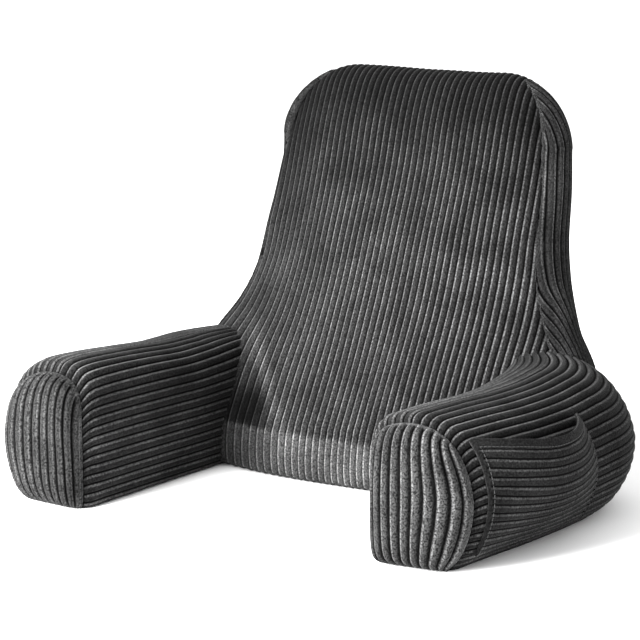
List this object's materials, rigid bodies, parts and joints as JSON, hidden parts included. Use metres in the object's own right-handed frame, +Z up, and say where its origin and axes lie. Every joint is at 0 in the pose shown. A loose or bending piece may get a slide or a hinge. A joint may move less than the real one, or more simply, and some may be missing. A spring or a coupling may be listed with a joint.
{
  "type": "reading pillow",
  "caption": "Reading pillow: a leaning ribbed backrest between two padded arms with crowned end caps, side gussets and an open side pocket.",
  "frame": {"origin": "middle of the backrest's flat bottom, on the surface that the pillow stands on", "axes": "+X across the pillow towards the arm with the pocket, +Y towards the back, +Z up; the arms reach towards -Y"},
  "size_m": [0.7366, 0.5274, 0.5],
  "materials": {
    "backrest_corduroy": "dark grey wide-rib plush corduroy",
    "gusset_corduroy": "dark grey wide-rib plush corduroy",
    "arm_corduroy": "dark grey wide-rib plush corduroy",
    "cap_corduroy": "dark grey wide-rib plush corduroy",
    "pocket_corduroy": "dark grey wide-rib plush corduroy"
  },
  "bodies": {
    "root": {"backrest": "backrest_corduroy", "side_gusset_left": "gusset_corduroy", "side_gusset_right": "gusset_corduroy", "arm_left": "arm_corduroy", "arm_right": "arm_corduroy", "arm_cap_left": "cap_corduroy", "arm_cap_right": "cap_corduroy", "pocket": "pocket_corduroy"}
  },
  "joints": []
}
